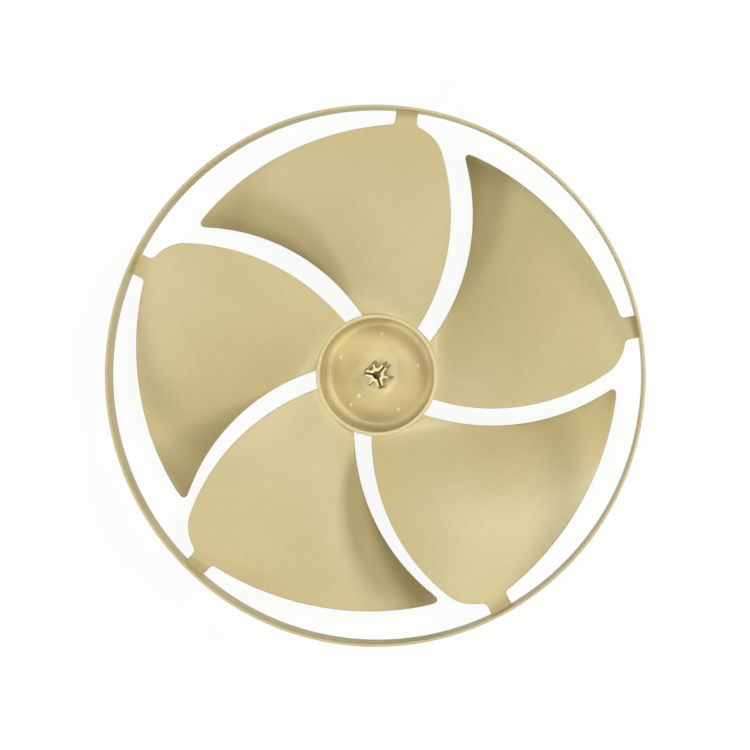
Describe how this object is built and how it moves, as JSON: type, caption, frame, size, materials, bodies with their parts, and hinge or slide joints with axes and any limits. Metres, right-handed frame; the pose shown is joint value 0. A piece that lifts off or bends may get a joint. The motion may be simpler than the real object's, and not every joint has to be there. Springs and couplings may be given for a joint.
{
  "type": "axial fan blade",
  "caption": "Moulded plastic axial fan wheel: cup-shaped hub with a split clamping boss, broad twisted blades that droop at one edge, and a thin outer ring tied to the blade tips.",
  "frame": {"origin": "on the fan axis, in the plane of the hub's back face", "axes": "+Z along the fan axis, towards the open side of the hub cup and the ring; X and Y are across the wheel, +Y up in the picture and +X to the right"},
  "size_m": [0.4, 0.4, 0.078],
  "materials": {
    "plastic": "satin, natural cream"
  },
  "bodies": {
    "root": {"fan_wheel": "plastic"}
  },
  "joints": []
}
